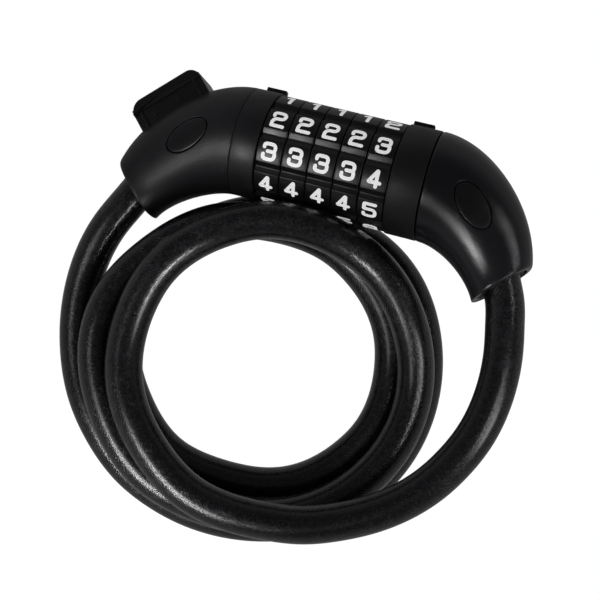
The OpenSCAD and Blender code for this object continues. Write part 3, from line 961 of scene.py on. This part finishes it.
left_halves = ["left_elbow_front", "left_elbow_rear"]
right_halves = ["right_elbow_front", "right_elbow_rear"]
shell_piece("left_shell", LEFT_REACH, -1, "case", left_halves, LEFT_SHELL)
shell_piece("right_shell", RIGHT_REACH, 1, "plug", right_halves, RIGHT_SHELL)
inlay_piece("left_oval", LEFT_REACH, -1, "case", "left_inlay")
inlay_piece("right_oval", RIGHT_REACH, 1, "plug", "right_inlay")
grommet_piece("left_seal", LEFT_REACH, -1, "case", "left_grommet")
grommet_piece("right_seal", RIGHT_REACH, 1, "plug", "right_grommet")


# ---- The barrel ----

def lathe(profile, count=144):
    """Rings about X through (x, radius) pairs, closed from the last back to the first."""
    a = np.linspace(0, 2 * math.pi, count, endpoint=False)
    y, z = np.cos(a), np.sin(a)
    return [np.stack([np.full(count, x), r * y, r * z], axis=-1) for x, r in profile]


def rounded_box(shape, low, high, edge):
    """A box with rounded edges, added to a shape as its own closed skin."""
    made = bmesh.new()
    bmesh.ops.create_cube(made, size=1.0)
    low, high = np.array(low), np.array(high)
    for v in made.verts:
        v.co = Vector((low + high) / 2 + np.array(v.co) * (high - low))
    edges = list(made.edges)
    bmesh.ops.bevel(made, geom=edges, offset=edge, segments=3, profile=0.5, affect="EDGES")
    first = shape.add([tuple(v.co) for v in made.verts])
    made.verts.index_update()
    shape.faces.extend(tuple(first + v.index for v in f.verts) for f in made.faces)
    made.free()


INDEX_L = 6.8
INDEX_W = 2.6
INDEX_H = 1.5
COLLAR_EDGE = 0.35
COLLAR_BORE = 8.2
KEYWAY_W = 3.0
KEYWAY_R = 10.0


def collar_piece(name, start, finish, mark_from, node_name, material):
    """A collar with softened edges, a keyway for the pin's teeth and an index mark."""
    turns = np.radians([0, 30, 60, 90])
    inward = COLLAR_EDGE * (1 - np.cos(turns))
    radii = BODY_R - COLLAR_EDGE * (1 - np.sin(turns))
    profile = [(start, COLLAR_BORE), *zip(start + inward, radii)]
    profile += [*zip(finish - inward[::-1], radii[::-1]), (finish, COLLAR_BORE)]
    rings = lathe(profile)
    for ring in (rings[0], rings[-1]):
        keyway = (np.abs(ring[:, 2]) < KEYWAY_W / 2) & (ring[:, 1] > 0)
        ring[keyway, 1] = KEYWAY_R
    shape = Shape()
    shape.loft(rings, closed=True)
    low = (mark_from, BODY_R - 1, -INDEX_W / 2)
    high = (mark_from + INDEX_L, BODY_R + INDEX_H, INDEX_W / 2)
    rounded_box(shape, low, high, 0.3)
    piece = make_piece(name, shape, laid, material, "case", 50)
    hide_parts(node_name)


collar_piece("collar_left", -LEFT_END, -COLLAR_FACE, -COLLAR_FACE - INDEX_L, "left_collar", COLLAR)
# The right collar takes the rougher copy, with painted shade in its colour
collar_piece("collar_right", COLLAR_FACE, RIGHT_END, COLLAR_FACE, "right_collar", MATT_SHADED_COLLAR)

DIGITS = 10
PANEL_R = 17.3
# Half the angle of a dial's panel, and of a panel with its notch
PANEL_HALF = 12.2
SECTOR_HALF = 180 / DIGITS
NOTCH_R = 16.42
DIAL_EDGE = 0.42
DIAL_BORE = 12.7
# Each dial rests a little short of its index, by its own play in the detent
DIAL_PLAY = (2.7, 3.2, 3.4, 2.9, 1.6)


def dial_outline(play):
    """Angle and radius of points round a dial: round panels with a V notch between them."""
    end = PANEL_HALF
    half = [(a, PANEL_R) for a in (0.0, 2.4, 4.8, 7.2, 9.6, end - 0.9)]
    half += [(end - 0.3, PANEL_R - 0.006), (end + 0.1, PANEL_R - 0.05), (end + 0.4, PANEL_R - 0.13)]
    half += [(end + 0.7, PANEL_R - 0.21), (16.7, NOTCH_R + 0.15), (17.3, NOTCH_R + 0.05)]
    right = [(math.radians(a), r) for a, r in half]
    left = [(-turn, r) for turn, r in right[:0:-1]]
    sector = left + right + [(math.radians(SECTOR_HALF), NOTCH_R)]
    step = 2 * math.pi / DIGITS
    back = math.radians(play)
    return np.array([(k * step + turn - back, r) for k in range(DIGITS) for turn, r in sector])


def dial_rings(centre, play):
    """The rings of a dial's skin, from its bore over one rounded edge to the other."""
    turn, radius = dial_outline(play).T
    bore = np.full(len(turn), DIAL_BORE)

    def ring(x, r):
        return np.stack([np.full(len(turn), x), r * np.cos(turn), r * np.sin(turn)], axis=-1)

    half = DIAL_W / 2
    rings = [ring(centre - half, bore)]
    ends = [(0.0, 1.0), (0.08, 0.61), (0.29, 0.29), (0.61, 0.08), (1.0, 0.0)]
    for part, drop in ends:
        rings.append(ring(centre - half + part * DIAL_EDGE, radius - DIAL_EDGE * drop))
    for part, drop in ends[::-1]:
        rings.append(ring(centre + half - part * DIAL_EDGE, radius - DIAL_EDGE * drop))
    rings.append(ring(centre + half, bore))
    return rings


def rounded(corners, radii, closed=False):
    """A line through corners, each of them rounded; 0 keeps a corner as it is."""
    corners = [np.array(c, float) for c in corners]
    count = len(corners)
    line = []
    for k, (corner, r) in enumerate(zip(corners, radii)):
        if r == 0 or (not closed and k in (0, count - 1)):
            line.append(corner)
            continue
        before = corners[k - 1] - corner
        after = corners[(k + 1) % count] - corner
        a = corner + before * min(0.5, r / np.linalg.norm(before))
        b = corner + after * min(0.5, r / np.linalg.norm(after))
        pull = corner * 0.9 + (a + b) * 0.05
        for t in np.linspace(0, 1, 9):
            line.append((1 - t) ** 2 * a + 2 * t * (1 - t) * pull + t**2 * b)
    if closed:
        line.append(line[0])
    return line


def digit_strokes(digit):
    """The lines of a plain squarish digit, in millimetres from its middle."""
    w, h = 1.85, 2.4
    if digit == 0:
        return [rounded([(-w, h), (w, h), (w, -h), (-w, -h)], [1.5] * 4, closed=True)]
    if digit == 1:
        return [[(-1.0, 1.35), (0.35, h)], [(0.35, h), (0.35, -h)]]
    if digit == 2:
        corners = [(-w, 1.15), (-w, h), (w, h), (w, 0.2), (-1.1, 0.1), (-w, -0.8), (-w, -h)]
        return [rounded(corners, [0, 1.1, 1.3, 1.2, 0.7, 0.6, 0]), [(-w, -h), (w, -h)]]
    if digit == 3:
        upper = [(-w, 1.25), (-w, h), (w - 0.1, h), (w - 0.1, 0.12), (0.3, 0.12)]
        lower = [(-0.55, 0.12), (w, 0.12), (w, -h), (-w, -h), (-w, -0.95)]
        return [rounded(upper, [0, 1.1, 1.2, 0.9, 0]), rounded(lower, [0, 0.8, 1.5, 1.4, 0])]
    if digit == 4:
        slope = rounded([(0.55, h), (-1.75, -1.15), (1.8, -1.15)], [0, 0.25, 0])
        return [slope, [(0.7, h - 0.1), (0.7, -h)]]
    if digit == 5:
        corners = [(w - 0.1, h), (-w + 0.1, h), (-w, 0.42)]
        corners += [(w, 0.42), (w, -h), (-w, -h), (-w, -1.35)]
        return [rounded(corners, [0, 0.3, 0.3, 1.3, 1.4, 1.1, 0])]
    if digit in (6, 9):
        corners = [(w, 1.25), (w, h), (-w, h), (-w, -h), (w, -h), (w, 0.3), (-w, 0.3)]
        radii = [0, 1.2, 1.5, 1.4, 1.4, 1.2, 0]
        if digit == 9:
            corners = [(-x, -y) for x, y in corners]
        return [rounded(corners, radii)]
    if digit == 7:
        return [rounded([(-w, h), (w, h), (-0.4, -h)], [0, 0.6, 0])]
    small = w - 0.15
    upper = [(-small, h), (small, h), (small, 0.12), (-small, 0.12)]
    lower = [(-w, 0.12), (w, 0.12), (w, -h), (-w, -h)]
    return [rounded(upper, [1.0] * 4, closed=True), rounded(lower, [1.1] * 4, closed=True)]


STROKE_W = 1.12
STROKE_STEP = 0.4
PAINT_H = 0.05
PAINT_SINK = 0.02
# Each next stroke of a digit is laid this much higher, so that no two lie in one face
STROKE_LIFT = 0.006


def finely(line):
    """The same line with its long stretches divided, so that it can follow a round panel."""
    line = np.array(line, float)
    fine = [line[:1]]
    for a, b in zip(line[:-1], line[1:]):
        parts = max(1, math.ceil(np.linalg.norm(b - a) / STROKE_STEP))
        fine.append(a + (b - a) * (np.arange(1, parts + 1) / parts)[:, None])
    return np.concatenate(fine)


def stroke_mesh(shape, line, width, height, place):
    """A flat painted stroke with round ends, raised by a height, put where place says."""
    line = finely(line)
    loop = np.linalg.norm(line[0] - line[-1]) < 1e-6
    way = np.gradient(line, axis=0)
    if loop:
        way[0] = way[-1] = line[1] - line[-2]
    way /= np.linalg.norm(way, axis=1)[:, None]
    out = np.stack([-way[:, 1], way[:, 0]], axis=-1) * width / 2
    left, right = line + out, line - out
    n = len(line)
    top_l = shape.add(place(left, height))
    top_r = shape.add(place(right, height))
    low_l = shape.add(place(left, 0))
    low_r = shape.add(place(right, 0))
    for k in range(n - 1):
        shape.faces.append((top_l + k, top_l + k + 1, top_r + k + 1, top_r + k))
        shape.faces.append((low_l + k, low_l + k + 1, top_l + k + 1, top_l + k))
        shape.faces.append((top_r + k, top_r + k + 1, low_r + k + 1, low_r + k))
    if loop:
        return
    for end, sign in ((0, -1), (n - 1, 1)):
        fan = np.linspace(-math.pi / 2, math.pi / 2, 9)
        outward = way[end] * sign * width / 2
        bow = line[end] + np.cos(fan)[:, None] * outward + np.sin(fan)[:, None] * out[end]
        top = shape.add(place(bow, height))
        low = shape.add(place(bow, 0))
        middle = shape.add(place(line[end : end + 1], height))
        for k in range(len(fan) - 1):
            shape.faces.append((top + k, top + k + 1, middle))
            shape.faces.append((low + k, low + k + 1, top + k + 1, top + k))


def number_piece(name, centre, first_digit, play, body):
    """The painted digits of one dial, the first on its +Y side and the next towards +Z."""
    shape = Shape()
    for k in range(DIGITS):
        middle = 2 * math.pi * k / DIGITS - math.radians(play)

        def place(flat, height, middle=middle):
            flat = np.asarray(flat)
            turn = middle - flat[:, 1] / PANEL_R
            r = PANEL_R - PAINT_SINK + height
            return np.stack([centre + flat[:, 0], r * np.cos(turn), r * np.sin(turn)], axis=-1)

        for s, line in enumerate(digit_strokes((first_digit + k) % DIGITS)):
            stroke_mesh(shape, line, STROKE_W, PAINT_H + PAINT_SINK + STROKE_LIFT * s, place)
    make_piece(name, shape, laid, PAINT, body, 40)


for index, dial_name in enumerate(STACK):
    centre_x = (index - 2) * DIAL_PITCH
    dial_play = DIAL_PLAY[index]
    ring_shape = Shape()
    ring_shape.loft(dial_rings(centre_x, dial_play), closed=True)
    ring_name = dial_name.replace("dial", "number_ring")
    ring_piece = make_piece(ring_name, ring_shape, laid, DIAL, dial_name, 30)
    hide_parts(dial_name)
    first_digit = 1 if index == len(STACK) - 1 else 0
    number_piece(dial_name.replace("dial", "numbers"), centre_x, first_digit, dial_play, dial_name)


# ---- The bracket lug ----

LUG_L = 25.5
LUG_W = 17.0
LUG_NECK_W = 15.8
LUG_FLANGE_T = 4.0
LUG_FACE = 50.0
LUG_ALONG = 36.2
LUG_CORNER = 4.4
LUG_FAR_CORNER = 3.6
LUG_TURN = math.radians(135)
NECK_FOOT = -11.0
NECK_TOP = -2.0
# The ribs and ejector marks: how far they reach along the neck, their width and their height
RIB_X = (-10.8, -3.6)
RIB_W = 1.0
RIB_H = 0.5
MARK_X = (-7.6, -5.4)
MARK_Y = (-4.2, 4.6)
MARK_W = 2.2
MARK_H = 0.25


def lug_point(v):
    """From the lug's own frame, X out of its face and Y along it, to the row frame."""
    v = np.asarray(v, float)
    c, s = math.cos(LUG_TURN), math.sin(LUG_TURN)
    x = LUG_FACE + v[..., 0]
    y = LUG_ALONG + v[..., 1]
    return laid(np.stack([x * c - y * s, x * s + y * c, v[..., 2]], axis=-1))


def plate(shape, outline, half, edge):
    """A flat block of an outline of the XY plane, with its rim rounded, as its own skin."""
    outline = np.array(outline, float)
    middle = outline.mean(axis=0)
    way = np.roll(outline, -1, axis=0) - np.roll(outline, 1, axis=0)
    out = np.stack([way[:, 1], -way[:, 0]], axis=-1)
    out /= np.linalg.norm(out, axis=1)[:, None]
    rings = []
    for turn in (0, 30, 60, 90):
        a = math.radians(turn)
        flat = outline - out * edge * (1 - math.sin(a))
        z = half - edge * (1 - math.cos(a))
        rings.append(np.column_stack([flat, np.full(len(flat), z)]))
    rings += [ring * [1, 1, -1] for ring in rings[::-1]]
    firsts = shape.loft(rings)
    shape.cap(firsts[0], len(outline), [*middle, half])
    shape.cap(firsts[-1], len(outline), [*middle, -half])


def rounded_end(r, half, back):
    """Half of the flange's outline: from its back edge round a corner to its face."""
    turns = np.radians(np.linspace(90, 0, 10))
    return [(back, half)] + [(r * math.cos(a) - r, half - r + r * math.sin(a)) for a in turns]


def lug_piece():
    """The lug that goes into a frame bracket: a rounded flange on a narrower neck."""
    shape = Shape()
    half_l = LUG_L / 2
    near = rounded_end(LUG_CORNER, half_l, -LUG_FLANGE_T)
    far = [(x, -y) for x, y in rounded_end(LUG_FAR_CORNER, half_l, -LUG_FLANGE_T)]
    plate(shape, far + near[::-1], LUG_W / 2, 0.5)
    neck_half = LUG_NECK_W / 2
    low = neck_half - 0.3
    rounded_box(shape, (NECK_FOOT, -half_l, -neck_half), (NECK_TOP, half_l, neck_half), 0.4)
    # Two moulded ribs and two ejector marks on the neck's wide side
    for y in (-half_l + 2.2, half_l - 3.2):
        rounded_box(shape, (RIB_X[0], y, low), (RIB_X[1], y + RIB_W, neck_half + RIB_H), 0.2)
    for y in MARK_Y:
        rounded_box(shape, (MARK_X[0], y, low), (MARK_X[1], y + MARK_W, neck_half + MARK_H), 0.2)
    piece = make_piece("lug", shape, lug_point, LUG, "case", 40)
    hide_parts("bracket_lug")


lug_piece()


# ---- Inner parts that keep their solids ----

INNER = {
    "left_anchor": ZINC, "right_anchor": ZINC,
    "left_ferrule": STEEL, "right_ferrule": STEEL,
    "left_cross_pin": STEEL, "right_cross_pin": STEEL,
    "core_tube": STEEL, "locking_pin": STEEL, "retaining_ring": STEEL, "wave_washer": STEEL,
}
INNER.update({dial_name.replace("dial", "gate_ring"): BRASS for dial_name in STACK})
for inner_name, finish in INNER.items():
    for place_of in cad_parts[inner_name].material_slots:
        place_of.material = finish
